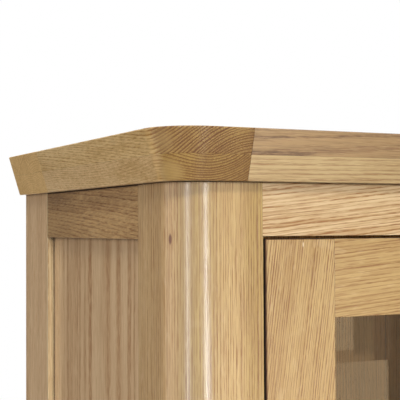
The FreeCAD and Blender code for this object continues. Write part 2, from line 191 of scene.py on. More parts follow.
# Waves per metre of each noise of the grain: twice across the grain, then along it. The rays' noise
# is counted per radian round the pith, per metre out from it, and per metre along it.
bend_scale = (7.0, 7.0, 1.5)
ripple_scale = (160.0, 160.0, 45.0)
dash_scale = (700.0, 700.0, 110.0)
patch_scale = (26.0, 26.0, 7.0)
fibre_scale = (800.0, 800.0, 22.0)
cloud_scale = (24.0, 24.0, 2.2)
pore_scale = (1500.0, 1500.0, 70.0)
ray_scale = (120.0, 45.0, 75.0)
uneven_scale = 130.0
uneven_rings = 1.6
board_offset = (3.1, 5.3, 9.7)
board_years = 17.0
ring_profile = ((0.0, 0.5), (0.06, 1.0), (0.2, 0.8), (0.38, 0.2), (0.85, 0.0), (1.0, 0.45))
deep_tone = shade(234, 210, 178)
ray_tone = shade(236, 208, 164)
pore_tone = shade(202, 166, 124)


def oak_grain_group():
    """
    Oak as a solid: rings round a pith that lies along Z, with open pores in each ring's early wood,
    ray flecks that stand out from the pith, and fine fibres along the grain.
    """
    tree = bpy.data.node_groups.new("oak_grain", "ShaderNodeTree")
    wanted = {
        "End Grain": 0.0,
        "Board": 0.0,
        "Spread": 0.0,
        "Light": shade(216, 182, 132),
        "Dark": shade(176, 138, 90),
        "Ring Width": 0.003,
        "Wander": 0.006,
        "Ripple": 0.0008,
        "Lines": 0.5,
        "End Lines": 0.3,
        "Streaks": 0.8,
        "Clouds": 0.4,
        "Pores": 0.7,
        "Rays": 0.5,
        "End Tone": shade(174, 162, 128),
    }
    tree.interface.new_socket("Position", in_out="INPUT", socket_type="NodeSocketVector")
    for name, value in wanted.items():
        kind = "NodeSocketColor" if isinstance(value, tuple) else "NodeSocketFloat"
        tree.interface.new_socket(name, in_out="INPUT", socket_type=kind).default_value = value
    for name, kind in (("Color", "Color"), ("Roughness", "Float"), ("Height", "Float")):
        tree.interface.new_socket(name, in_out="OUTPUT", socket_type="NodeSocket" + kind)
    given = tree.nodes.new("NodeGroupInput").outputs

    # Each board of a piece has its own pith and its own stretch of the noises.
    half = (0.5, 0.5, 0.5)
    lot = put(tree, "TexWhiteNoise", {"W": given["Board"]}, noise_dimensions="1D").outputs["Color"]
    shift = scaled(tree, reckon(tree, "SUBTRACT", lot, half), given["Spread"])
    stretch = reckon(tree, "MULTIPLY_ADD", lot, board_offset, given["Position"])

    # The pith wanders, so that the rings run out at the faces, and the fibres ripple round it.
    slow = reckon(tree, "SUBTRACT", noise(tree, stretch, bend_scale, color=True), half)
    quick = reckon(tree, "SUBTRACT", noise(tree, stretch, ripple_scale, color=True), half)
    slow = scaled(tree, slow, given["Wander"])
    quick = scaled(tree, quick, given["Ripple"])
    moved = reckon(tree, "ADD", shift, reckon(tree, "ADD", slow, quick))
    part = split(tree, reckon(tree, "ADD", given["Position"], moved))
    radius = length(tree, put(tree, "CombineXYZ", {0: part[0], 1: part[1], 2: 0.0}).outputs[0])
    turn = calc(tree, "ARCTAN2", part[1], part[0])

    # Rings: a sharp start in the early wood, a slow fade to the late wood, no two of one width or tone.
    uneven = {"W": calc(tree, "MULTIPLY", radius, uneven_scale), "Scale": 1.0}
    uneven = put(tree, "TexNoise", uneven, noise_dimensions="1D").outputs[0]
    count = calc(tree, "DIVIDE", radius, given["Ring Width"])
    count = calc(tree, "MULTIPLY_ADD", uneven, uneven_rings, count)
    year = calc(tree, "MULTIPLY_ADD", given["Board"], board_years, calc(tree, "FLOOR", count))
    year_tone = put(tree, "TexWhiteNoise", {"W": year}, noise_dimensions="1D").outputs["Value"]
    early = put(tree, "ValToRGB", {"Fac": calc(tree, "FRACT", count)})
    ramp = early.color_ramp
    while len(ramp.elements) < len(ring_profile):
        ramp.elements.new(0.5)
    for element, (where, level) in zip(ramp.elements, ring_profile):
        element.position = where
        element.color = (level, level, level, 1.0)
    early = early.outputs["Color"]
    line = calc(tree, "MULTIPLY", early, calc(tree, "MULTIPLY_ADD", year_tone, 0.7, 0.5))
    dash = between(tree, noise(tree, stretch, dash_scale, 2.0, 0.6), 0.3, 0.7)
    patch = between(tree, noise(tree, stretch, patch_scale), 0.3, 0.68)
    broken = mixed(tree, given["End Grain"], calc(tree, "MULTIPLY_ADD", dash, 1.3, 0.35), 1.0)
    strong = calc(tree, "MULTIPLY_ADD", patch, 1.3, 0.4)
    line = calc(tree, "MULTIPLY", line, calc(tree, "MULTIPLY", broken, strong))

    # Fibres, clouds, pores and rays
    fibre = calc(tree, "SUBTRACT", noise(tree, stretch, fibre_scale, 3.0, 0.65), 0.5)
    cloud = calc(tree, "SUBTRACT", noise(tree, stretch, cloud_scale, 4.0, 0.68), 0.5)
    pore = calc(tree, "MULTIPLY_ADD", early, 0.22, noise(tree, stretch, pore_scale, 1.0))
    pore = calc(tree, "MULTIPLY", between(tree, pore, 0.6, 0.74), given["Pores"])
    ray_place = put(tree, "CombineXYZ", {0: turn, 1: radius, 2: part[2]}).outputs[0]
    ray = between(tree, noise(tree, ray_place, ray_scale, 1.0), 0.6, 0.74)
    ray = calc(tree, "MULTIPLY", ray, given["Rays"])

    # Colour from all of these
    strength = calc(tree, "MULTIPLY_ADD", given["End Grain"], given["End Lines"], given["Lines"])
    level = calc(tree, "MULTIPLY", line, strength)
    cloudy = calc(tree, "MULTIPLY", calc(tree, "MULTIPLY", cloud, given["Clouds"]), 2.0)
    streaky = calc(tree, "MULTIPLY", fibre, given["Streaks"])
    level = calc(tree, "ADD", level, calc(tree, "MULTIPLY_ADD", streaky, 2.0, cloudy))
    color = blended(tree, calc(tree, "ADD", level, 0.2, clamp=True), given["Light"], given["Dark"])
    deep = blended(tree, calc(tree, "MULTIPLY", level, 0.5, clamp=True), white, deep_tone)
    color = blended(tree, 1.0, color, deep, "MULTIPLY")
    color = blended(tree, calc(tree, "MULTIPLY", ray, 0.35), color, ray_tone)
    color = blended(tree, calc(tree, "MULTIPLY", pore, 0.6), color, pore_tone, "MULTIPLY")
    end_tone = blended(tree, given["End Grain"], white, given["End Tone"])
    color = blended(tree, 1.0, color, end_tone, "MULTIPLY")
    rough = calc(tree, "MULTIPLY_ADD", pore, 0.25, 0.34)
    rough = calc(tree, "MULTIPLY_ADD", given["End Grain"], 0.24, rough)
    rough = calc(tree, "MULTIPLY_ADD", ray, -0.08, rough)
    height = calc(tree, "MULTIPLY_ADD", pore, -1.0, calc(tree, "MULTIPLY", line, -0.35))
    height = calc(tree, "MULTIPLY_ADD", fibre, -0.3, height)
    result = tree.nodes.new("NodeGroupOutput").inputs
    for name, value in (("Color", color), ("Roughness", rough), ("Height", height)):
        tree.links.new(value, result[name])
    return tree


oak_grain = oak_grain_group()
grain_turns = (
    Matrix(((0, 1, 0), (0, 0, 1), (1, 0, 0))),
    Matrix(((0, 0, 1), (1, 0, 0), (0, 1, 0))),
    Matrix(((1, 0, 0), (0, 1, 0), (0, 0, 1))),
)
end_facing = (0.08, 0.5)
# Painted shade for narrow gaps and inner corners: ambient occlusion's reach and range, and the dark tone
crevice_width = 0.005
crevice_openness = (0.42, 0.78)
crevice_shade_tone = shade(52, 32, 16)
pore_depth = 0.00014
lacquer_roughness = 0.22


def grain_sockets(tree, along, pith, tilt):
    """Where a point lies from a pith along X, Y or Z, and how far its surface shows end grain."""
    lean = Euler((math.radians(tilt[0]), math.radians(tilt[1]), 0)).to_matrix()
    turned = lean @ grain_turns[along]
    where = put(tree, "TexCoord", {}).outputs
    turn = {
        "Vector": where["Object"],
        "Location": -(turned @ Vector(pith)),
        "Rotation": turned.to_euler(),
    }
    grain_way = [0.0, 0.0, 0.0]
    grain_way[along] = 1.0
    facing = put(tree, "VectorMath", {0: where["Normal"], 1: grain_way}, operation="DOT_PRODUCT")
    facing = calc(tree, "ABSOLUTE", facing.outputs["Value"])
    return put(tree, "Mapping", turn).outputs[0], between(tree, facing, *end_facing)


def oak(name, along, pith, tilt=(0.0, 0.0), boards=None, lacquer=1.0, crevice_shading=0.9, crossed=None, **look):
    """
    Lacquered oak whose grain runs along X, Y or Z (along is 0, 1 or 2), round a pith through the
    point pith. tilt leans the grain, in degrees. boards is (axis, start, width) of glued boards.
    crossed is another direction of grain and the mask of the boards that have it. crevice_shading is
    how much darker narrow gaps and inner corners are painted, as a painted shade found by ambient
    occlusion. look holds sockets of the grain.
    """
    material, tree = bare_material(name)
    place, end = grain_sockets(tree, along, pith, tilt)
    if crossed:
        other, mask = crossed
        share = mask(tree)
        other_place, other_end = grain_sockets(tree, other, pith, tilt)
        place = put(tree, "Mix", {0: share, 4: place, 5: other_place}, data_type="VECTOR").outputs[1]
        end = mixed(tree, share, end, other_end)
    sockets = {"Position": place, "End Grain": end, **look}
    if boards:
        axis, start, width = boards
        from_start = calc(tree, "SUBTRACT", split(tree, object_place(tree))[axis], start)
        board = calc(tree, "FLOOR", calc(tree, "DIVIDE", from_start, width))
        sockets["Board"] = calc(tree, "ADD", board, 1.0)
    grain = put(tree, "Group", sockets, node_tree=oak_grain).outputs
    # Narrow gaps and inner corners, found by ambient occlusion, get a painted shade and lose their gloss
    openness = put(tree, "AmbientOcclusion", {"Distance": crevice_width}, samples=6).outputs["AO"]
    opened = between(tree, openness, *crevice_openness)
    hidden = calc(tree, "SUBTRACT", 1.0, opened)
    shaded_share = calc(tree, "MULTIPLY", hidden, crevice_shading)
    gloss = calc(tree, "MULTIPLY_ADD", end, -0.8 * lacquer, lacquer)
    rough = calc(tree, "ADD", grain["Roughness"], 0.3 * (1 - lacquer))
    bump = put(tree, "Bump", {"Height": grain["Height"], "Strength": 0.6, "Distance": pore_depth})
    surface = {
        "Base Color": blended(tree, shaded_share, grain["Color"], crevice_shade_tone),
        "Roughness": calc(tree, "MULTIPLY_ADD", hidden, 0.4, rough),
        "Normal": bump.outputs[0],
        "Specular IOR Level": 0.3 + 0.3 * lacquer,
        "Coat Weight": calc(tree, "MULTIPLY", gloss, opened),
        "Coat Roughness": lacquer_roughness,
    }
    surfaced(tree, surface)
    return material


def surface_socket(material, name):
    """One socket of a material's shader, and what is linked to it."""
    shader = next(node for node in material.node_tree.nodes if node.type == "BSDF_PRINCIPLED")
    return shader.inputs[name], shader.inputs[name].links[0].from_socket


def recolored(material, share, tone, how="MIX"):
    """Lay one more tone over a board's colour, by a mask."""
    tree = material.node_tree
    socket, color = surface_socket(material, "Base Color")
    tree.links.new(blended(tree, share, color, tone, how), socket)


def marked(material, point, size, tone, strength, core=0.35):
    """Give a board's colour a tone round a point: full in an ellipsoid's core, none outside it."""
    tree = material.node_tree
    reach = reckon(tree, "DIVIDE", reckon(tree, "SUBTRACT", object_place(tree), point), size)
    near = calc(tree, "SUBTRACT", 1.0, between(tree, length(tree, reach), core, 1.0))
    recolored(material, calc(tree, "MULTIPLY", near, strength), tone)


def rising(material, axis, start, end):
    """A mask that goes slowly from 0 at start to 1 at end, along an axis."""
    tree = material.node_tree
    return between(tree, split(tree, object_place(tree))[axis], start, end)


def tinted(material, axis, start, end, tint):
    """Multiply a board's colour by a tint, slowly more from start to end along an axis."""
    recolored(material, rising(material, axis, start, end), tint, "MULTIPLY")


def dulled(material, axis, start, end):
    """Take a board's lacquer away, slowly more from start to end along an axis."""
    tree = material.node_tree
    lacquered = calc(tree, "SUBTRACT", 1.0, rising(material, axis, start, end))
    for name, unlacquered in (("Coat Weight", 0.0), ("Roughness", 0.9)):
        socket, value = surface_socket(material, name)
        tree.links.new(mixed(tree, lacquered, unlacquered, value), socket)


def rectangle(first, second):
    """The corners of a rectangle, in turn: first and second are its two ends along each side."""
    return [
        (first[0], second[0]),
        (first[1], second[0]),
        (first[1], second[1]),
        (first[0], second[1]),
    ]


def rounded_outline(corners, radii, steps):
    """
    An outline with an arc at each corner: the arc's centre stands on the corner's bisector, where
    both sides are a radius away, and points go round it from one side to the other.
    """
    corner = np.array(corners, float)
    radius = np.broadcast_to(np.array(radii, float), len(corner))
    before = np.roll(corner, 1, 0) - corner
    after = np.roll(corner, -1, 0) - corner
    before /= np.linalg.norm(before, axis=1)[:, None]
    after /= np.linalg.norm(after, axis=1)[:, None]
    middle = before + after
    middle /= np.linalg.norm(middle, axis=1)[:, None]
    sine = np.sqrt((1 - (before * after).sum(1)) / 2)
    cosine = (before * middle).sum(1)
    centre = corner + middle * (radius / sine)[:, None]
    reach = (radius * cosine / sine)[:, None]
    first = corner + before * reach - centre
    last = corner + after * reach - centre
    start = np.arctan2(first[:, 1], first[:, 0])
    sweep = np.arctan2(last[:, 1], last[:, 0]) - start
    sweep = (sweep + np.pi) % (2 * np.pi) - np.pi
    points = []
    normals = []
    for i in range(len(corner)):
        angle = start[i] + sweep[i] * np.linspace(0, 1, steps[i] + 1)
        way = np.stack([np.cos(angle), np.sin(angle)], 1)
        points.append(centre[i] + way * radius[i])
        normals.append(way * np.sign(sweep[i]))
    return np.concatenate(points), np.concatenate(normals)


def tube(rings):
    """
    A closed skin from rings of points, each as long as the last: four-sided faces join each ring
    to the next, and one flat face closes each end.
    """
    count, around = rings.shape[:2]
    ring, step = np.meshgrid(np.arange(count - 1), np.arange(around), indexing="ij")
    here = ring * around + step
    beside = ring * around + (step + 1) % around
    faces = np.stack([here, beside, beside + around, here + around], -1).reshape(-1, 4).tolist()
    last = (count - 1) * around
    ends = [list(range(around))[::-1], list(range(last, last + around))]
    return rings.reshape(-1, 3), faces + ends


def eased(first, last, first_ease, last_ease, steps=arris_steps):
    """Places from first to last and how far the sides draw in there, as quarter circles at both ends."""
    angle = np.linspace(0, np.pi / 2, steps + 1)
    low = [(first + first_ease * (1 - math.cos(a)), first_ease * (1 - math.sin(a))) for a in angle]
    high = [(last - last_ease * (1 - math.cos(a)), last_ease * (1 - math.sin(a))) for a in angle[::-1]]
    return low + high


def run(section, along, ends, first_ease=arris, last_ease=arris):
    """
    A board of one section, which is an outline and its normals lying across the axis along. Near
    the ends the outline draws in along its normals.
    """
    outline, normals = section
    rings = []
    for place, drawn in eased(*ends, first_ease, last_ease):
        across = outline - normals * drawn
        ring = np.empty((len(across), 3))
        ring[:, along] = place
        ring[:, (along + 1) % 3] = across[:, 0]
        ring[:, (along + 2) % 3] = across[:, 1]
        rings.append(ring)
    return tube(np.array(rings))


def joined(parts):
    """Several skins as one: their points one after another, and their faces counted on."""
    points = []
    faces = []
    for part_points, part_faces in parts:
        start = sum(len(p) for p in points)
        points.append(np.asarray(part_points))
        faces += [[start + i for i in face] for face in part_faces]
    return np.concatenate(points), faces


def flipped(part):
    """The same skin on the other side of the cabinet: X changes sign and faces turn round."""
    points, faces = part
    return points * (-1, 1, 1), [face[::-1] for face in faces]


def add(name, part, material, body, node):
    """Make a piece of the object from a skin, smooth except at its sharp edges, in a node's place."""
    points, faces = part
    mesh = bpy.data.meshes.new(name)
    mesh.from_pydata(np.asarray(points).tolist(), [], faces)
    mesh.shade_smooth()
    mesh.set_sharp_from_angle(angle=sharp_angle)
    mesh.update()
    piece = bpy.data.objects.new(name, mesh)
    bpy.context.scene.collection.objects.link(piece)
    mesh.materials.append(material)
    even = piece.modifiers.new("even shading", "WEIGHTED_NORMAL")
    even.keep_sharp = True
    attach(piece, body)
    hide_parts(node)


def dress(node, material, edge=joint_arris):
    """Give a CAD node its finish, and soften its edges as a plane's stroke does, unless edge is 0."""
    piece = frame["nodes"][node]
    piece.data.materials.clear()
    piece.data.materials.append(material)
    if edge:
        weld = piece.modifiers.new("weld", "WELD")
        weld.merge_threshold = weld_reach
        soft = piece.modifiers.new("arris", "BEVEL")
        soft.width = edge
        soft.segments = 2
        soft.limit_method = "ANGLE"
        soft.angle_limit = sharp_angle
        soft.harden_normals = True


post_section = rounded_outline(
    rectangle((post_low.x, post_high.x), (post_low.y, post_high.y)),
    [post_round, joint_arris, arris, joint_arris],
    [arc_steps, arris_steps, arris_steps, arris_steps],
)
front_post = run(post_section, 2, (post_low.z, post_high.z), sole_arris, arris)
post_colors = {"Light": shade(214, 182, 121), "Dark": shade(171, 131, 73)}
post_grain = {"Ring Width": 0.0020, "Lines": 0.45, "Streaks": 0.9, "Clouds": 0.7, "Wander": 0.005}
post_middle = (post_low + post_high) / 2
post_pith_away = 0.1
left_pith = post_middle + Vector((post_pith_away, -post_pith_away, 0))
right_pith = Vector((-post_middle.x - post_pith_away, post_pith_away, 0))
post_oak_left = oak("oak_post_left", 2, left_pith, tilt=(0.3, -0.2), **post_colors, **post_grain)
post_oak_right = oak("oak_post_right", 2, right_pith, tilt=(-0.2, 0.3), **post_colors, **post_grain)

# Across the left post a painted shade darkens the round corner, deepest between its two highlights;
# the side face is painted light again, to about its own tone but bluer. By the door the front is darker
# and yellower.
post_shade_and_tones = (
    (post_low.x + 0.040, post_low.x + 0.020, shade(225, 224, 211)),
    (post_low.x + 0.019, post_low.x + 0.013, shade(236, 231, 230)),
    (post_low.x + 0.009, post_low.x, shade(320, 324, 373)),
    (post_high.x - 0.022, post_high.x - 0.008, shade(228, 222, 189)),
)
for start, end, tint in post_shade_and_tones:
    tinted(post_oak_left, 0, start, end, tint)
knot_place = Vector((-0.4296, -0.1484, 1.7203))
knot_halo = Vector((0.004, 0.004, 0.011))
knot_heart = Vector((0.002, 0.002, 0.005))
marked(post_oak_left, knot_place, knot_halo, shade(164, 122, 66), strength=0.3, core=0.2)
marked(post_oak_left, knot_place, knot_heart, shade(114, 64, 20), strength=1.0, core=0.45)
add("post_front_left_oak", front_post, post_oak_left, "carcass", "post_front_left")
add("post_front_right_oak", flipped(front_post), post_oak_right, "carcass", "post_front_right")

# Rear posts
# The same square oak, square at every corner and rebated behind for the back boards. In the corner
# beside each panel it is painted a little darker and less red: a painted shade.
rear_post_colors = {"Light": shade(249, 213, 166), "Dark": shade(208, 167, 121)}
rear_pith_forward = 0.07
rear_corner_shade = (0.003, 0.001)
for side, sign in (("left", -1), ("right", 1)):
    low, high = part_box("post_rear_" + side)
    pith = ((low.x + high.x) / 2 - sign * post_pith_away, low.y - rear_pith_forward, 0)
    finish = oak("oak_post_rear_" + side, 2, pith, **rear_post_colors, **post_grain)
    tinted(finish, 1, low.y + rear_corner_shade[0], low.y + rear_corner_shade[1], shade(239, 250, 250))
    dress("post_rear_" + side, finish)

# Rails
# Straight oak rails tenoned into the posts: three across the front, flush with the posts, three
# across the back inside the boards, and two along each side.
rail_overlap = 0.0005
crown_arris = 0.0019


def upper_rail(low, high, along, ends):
    """A rail under the top, square in section, with its upper edges eased more than the others."""
    first, second = (along + 1) % 3, (along + 2) % 3
    corners = rectangle((low[first], high[first]), (low[second], high[second]))
    radii = [crown_arris if high[2] in corner else joint_arris for corner in corners]
    section = rounded_outline(corners, radii, [arris_steps] * len(corners))
    return run(section, along, ends, 0.0, 0.0)


front_rail_look = {
    "Light": shade(231, 202, 156),
    "Dark": shade(175, 129, 68),
    "Lines": 1.0,
    "Streaks": 1.2,
    "Ripple": 0.0014,
    "Wander": 0.014,
}
front_rail_pith = (0.06, -0.09)
# The third number of each rail is how dark its narrow gaps are painted: painted shade
for name, lean, gap_shading in (("top", 6.0, 0.5), ("middle", 1.5, 0.9), ("bottom", -2.0, 0.9)):
    node = "front_rail_" + name
    low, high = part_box(node)
    pith = (0, low.y + front_rail_pith[0], low.z + front_rail_pith[1])
    finish = oak("oak_" + node, 0, pith, tilt=(lean, 0), crevice_shading=gap_shading, **front_rail_look)
    if name == "top":
        reach = post_high.x - rail_overlap
        add(node + "_oak", upper_rail(low, high, 0, (reach, -reach)), finish, "carcass", node)
    else:
        dress(node, finish)
side_rail_look = {
    "Light": shade(220, 179, 122),
    "Dark": shade(136, 92, 48),
    "Lines": 0.3,
    "Clouds": 1.0,
    "Ripple": 0.0014,
    "Wander": 0.012,
}
side_rail_pith = (0.05, -0.06)
side_rail_shade = (-0.02, 0.1, shade(226, 222, 216))
side_rail_ends = (post_high.y - rail_overlap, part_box("post_rear_left")[0].y + rail_overlap)
for side, sign in (("left", -1), ("right", 1)):
    for name in ("top", "bottom"):
        node = "side_rail_" + name + "_" + side
        low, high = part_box(node)
        pith = (low.x - sign * side_rail_pith[0], 0, low.z + side_rail_pith[1])
        # Their narrow gaps get the full painted shade
        finish = oak("oak_" + node, 1, pith, tilt=(-7.0, 0), crevice_shading=1.0, **side_rail_look)
        tinted(finish, 1, *side_rail_shade)
        if name == "top":
            skin = upper_rail(low, high, 1, side_rail_ends)
            add(node + "_oak", skin, finish, "carcass", node)
        else:
            dress(node, finish)
rear_rail_lots = 6
rear_rail_pith_forward = 0.06
rear_rail_pith_height = 0.5
rear_rail_shadow = (0.09, 0.05)
low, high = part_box("rear_rails")
rear_rail_boards = (2, low.z, (high.z - low.z) / rear_rail_lots)
rear_rail_pith = (0, low.y - rear_rail_pith_forward, rear_rail_pith_height)
rear_rail_oak = oak("oak_rear_rails", 0, rear_rail_pith, boards=rear_rail_boards, Spread=0.1)
start, end = (post_high.z - reach for reach in rear_rail_shadow)
tinted(rear_rail_oak, 2, start, end, shade(140, 128, 116))
dress("rear_rails", rear_rail_oak)

# Side panels
# Quiet oak boards, one wide panel a side, held loose in grooves in the posts and rails.
panel_look = {
    "Light": shade(237, 202, 157),
    "Dark": shade(194, 153, 108),
    "Ring Width": 0.005,
    "Spread": 0.12,
    "Lines": 0.5,
    "Clouds": 0.9,
}
panel_staves = 3
panel_pith_in = 0.12
for side, sign in (("left", -1), ("right", 1)):
    node = "side_panel_" + side
    low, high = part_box(node)
    staves = (1, low.y, (high.y - low.y) / panel_staves)
    pith = (low.x - sign * panel_pith_in, (low.y + high.y) / 2, 0)
    dress(node, oak("oak_" + node, 2, pith, boards=staves, **panel_look), 0)

# Back boards
# Eight upright boards, tongued and grooved together, with a small vee at each joint inside. They are
# hardly lacquered, and their colour is darker and more orange than the other oak's: painted shade
# for the inside of the closed cabinet.
low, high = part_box("back_boards")
board_count = 8
back_look = {
    "Light": shade(219, 160, 89),
    "Dark": shade(169, 110, 53),
    "Spread": 0.16,
    "Lines": 0.3,
    "Clouds": 0.8,
}
back_pith_forward = 0.05
back_pith = (0, low.y - back_pith_forward, 0)
back_widths = (0, low.x, (high.x - low.x) / board_count)
back_oak = oak("oak_back_boards", 2, back_pith, boards=back_widths, lacquer=0.1, **back_look)
dress("back_boards", back_oak, 0)

# Deck, bottom board, shelves and drawer bay
# Wide boards glued up from staves. The shelves lie on battens, plain bars under and over the drawer
# sides carry and steady the drawers, and a divider parts them. Two more battens hold the top.
stave_width = 0.105
stave_pith_down = 0.07
for node in ("deck_board", "bottom_board", "shelf_lower", "shelf_middle", "shelf_upper"):
    low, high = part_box(node)
    pith = (0, (low.y + high.y) / 2, low.z - stave_pith_down)
    staves = (1, low.y, stave_width)
    dress(node, oak("oak_" + node, 0, pith, boards=staves, Spread=0.14, Lines=0.5))
divider_pith = (0.06, 0.1)
low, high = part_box("drawer_divider")
dress("drawer_divider", oak("oak_divider", 2, (divider_pith[0], low.y + divider_pith[1], 0)))
bar_pith_down = 0.05
bar_lots = 5
for node in ("drawer_runners", "drawer_kickers", "shelf_bearers", "top_battens"):
    low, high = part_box(node)
    across = 2 if node == "shelf_bearers" else 0
    pitch = (high[across] - low[across]) / bar_lots
    bars = (across, low[across] - pitch / 2, pitch)
    dress(node, oak("oak_" + node, 1, (0, 0, low.z - bar_pith_down), boards=bars, Spread=0.1))

# Top
# Two layers of oak glued face to face: strips round the edges and a board behind them, worked to
# one slanting edge with rounded front corners. The side strips run to the front and show end grain.
carcass_left = post_low.x
carcass_front = post_low.y
lower_low, lower_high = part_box("top_side_strip_left_lower")
upper_low, upper_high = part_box("top_side_strip_left_upper")
field_low, field_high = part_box("top_field_board")
top_base = lower_low.z
glue_line = lower_high.z
top_surface = upper_high.z
lower_overhang = 0.006
upper_overhang = carcass_left - upper_low.x
lower_corner = 0.026
slant = (upper_overhang - lower_overhang) / (top_surface - top_base)
strip_inner_x = field_low.x
rear_board_y = field_high.y
top_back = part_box("top_rear_board")[1].y
top_arris = 0.0015
base_arris = 0.0006
glue_arris = 0.00015
corner_steps = 20


def top_rings(plan, heights):
    """One board of the top, ring by ring: plan(overhang) is its outline where the top hangs out so far."""
    rings = []
    for z, drawn in heights:
        overhang = lower_overhang + slant * (z - top_base) - drawn
        outline = rounded_outline(*plan(overhang))[0]
        rings.append(np.column_stack([outline, np.full(len(outline), z)]))
    return tube(np.array(rings))


def side_strip_plan(overhang):
    """The plan of a left side strip: its front outer corner is the round corner of the top."""
    corners = rectangle(
        (carcass_left - overhang, strip_inner_x),
        (carcass_front - overhang, rear_board_y),
    )
    radius = lower_corner + overhang - lower_overhang
    return corners, [radius, glue_arris, glue_arris, glue_arris], [corner_steps, 1, 1, 1]


def front_strip_plan(overhang):
    """The plan of a front strip, which butts between the side strips."""
    corners = rectangle((strip_inner_x, -strip_inner_x), (carcass_front - overhang, field_low.y))
    return corners, [glue_arris] * 4, [1] * 4


def rear_board_plan(overhang):
    """The plan of a rear board, which runs from one side of the top to the other."""
    x = carcass_left - overhang
    return rectangle((x, -x), (rear_board_y, top_back)), [glue_arris] * 4, [1] * 4


lower_heights = eased(top_base, glue_line, base_arris, glue_arris)
upper_heights = eased(glue_line, top_surface, glue_arris, top_arris)
strip_piths = {"upper": (-0.374, -0.19, 1.744), "lower": (-0.410, -0.19, 1.812)}
right_pith_out = 0.012
strip_leans = {"upper": -7.0, "lower": -11.0}
strip_grain = {"Ripple": 0.0007, "Wander": 0.006, "Lines": 0.3, "Clouds": 0.9, "End Lines": 2.0}
# The side strips are paler than the front strips: partly the oak's own tone, partly painted light for
# their faces, which lean down away from the lamps.
strip_looks = {
    "upper": {
        "Light": shade(255, 218, 154),
        "Dark": shade(195, 149, 68),
        "Ring Width": 0.0020,
        "End Tone": shade(170, 157, 115),
    },
    "lower": {
        "Light": shade(253, 215, 157),
        "Dark": shade(197, 153, 74),
        "Ring Width": 0.0018,
        "End Tone": shade(174, 162, 106),
    },
}
sapwood = {
    "upper": (Vector((-0.449, -0.166, 1.788)), Vector((0.018, 0.014, 0.016)), shade(178, 144, 90), 0.55),
    "lower": (Vector((-0.4365, -0.1615, 1.768)), Vector((0.015, 0.014, 0.0125)), shade(180, 146, 82), 0.7),
}
front_strip_piths = {"upper": glue_line + 0.012, "lower": glue_line - 0.06}
front_pith_back = 0.05
front_strip_looks = {
    "upper": {"Light": shade(178, 144, 98), "Dark": shade(107, 77, 47), "Clouds": 1.5, "Lines": 0.7},
    "lower": {"Light": shade(212, 185, 133), "Dark": shade(172, 136, 88), "Lines": 0.5},
}
for layer, heights in (("upper", upper_heights), ("lower", lower_heights)):
    left_strip = top_rings(side_strip_plan, heights)
    for side, strip in (("left", left_strip), ("right", flipped(left_strip))):
        x, y, z = strip_piths[layer]
        pith = (x, y, z) if side == "left" else (-x - right_pith_out, y, z)
        node = "top_side_strip_" + side + "_" + layer
        look = {**strip_grain, **strip_looks[layer]}
        finish = oak("oak_" + node, 1, pith, tilt=(strip_leans[layer], 0), **look)
        if side == "left":
            marked(finish, *sapwood[layer])
        add(node + "_oak", strip, finish, "carcass", node)
    node = "top_front_strip_" + layer
    pith = (0, carcass_front + front_pith_back, front_strip_piths[layer])
    # Its narrow gaps get only a little painted shade
    finish = oak("oak_" + node, 0, pith, tilt=(0, 1.0), crevice_shading=0.3, **front_strip_looks[layer])
    add(node + "_oak", top_rings(front_strip_plan, heights), finish, "carcass", node)
rear_boards = joined([top_rings(rear_board_plan, heights) for heights in (lower_heights, upper_heights)])
rear_look = {
    **strip_looks["upper"],
    "Spread": 0.05,
    "Lines": 0.15,
    "End Lines": 0.0,
    "End Tone": shade(236, 231, 222),
}
rear_pith = (0, 0.13, 1.70)
rear_layers = (2, top_base, glue_line - top_base)
rear_oak = oak("oak_top_rear", 0, rear_pith, boards=rear_layers, **rear_look)
add("top_rear_board_oak", rear_boards, rear_oak, "carcass", "top_rear_board")
field_pith = (0, 0, 1.68)
field_stave_count = 3
field_staves = (1, field_low.y, (field_high.y - field_low.y) / field_stave_count)
field_oak = oak("oak_top_field", 0, field_pith, boards=field_staves, Spread=0.12)
dress("top_field_board", field_oak, 0)

# Doors
# Inset frames of oak with full-height stiles and rails tenoned between them, flush with the carcass.
# Their topmost edges and the left door's hinge edge are painted darker, as the painted shade of the
# gap, and the hinge edge loses its lacquer.
door_colors = {"Light": shade(206, 172, 113), "Dark": shade(157, 115, 56)}
stile_grain = {"Ring Width": 0.0021, "Lines": 0.8, "Streaks": 1.0, "Clouds": 0.8, "Wander": 0.02}
rail_grain = {"Lines": 0.6, "Wander": 0.010}
stile_pith_back = 0.1
rail_pith = (0.06, -0.1)
top_edge = (-0.0006, -0.0001)
hinge_edge = (0.0015, 0.0002)
fleck_size = Vector((0.0007, 0.002, 0.0026))


def shade_in_the_gap(finish, high):
    """Paint the topmost edge of a stile or a rail of a door darker: the painted shade of the gap above."""
    tinted(finish, 2, high.z + top_edge[0], high.z + top_edge[1], shade(140, 130, 130))


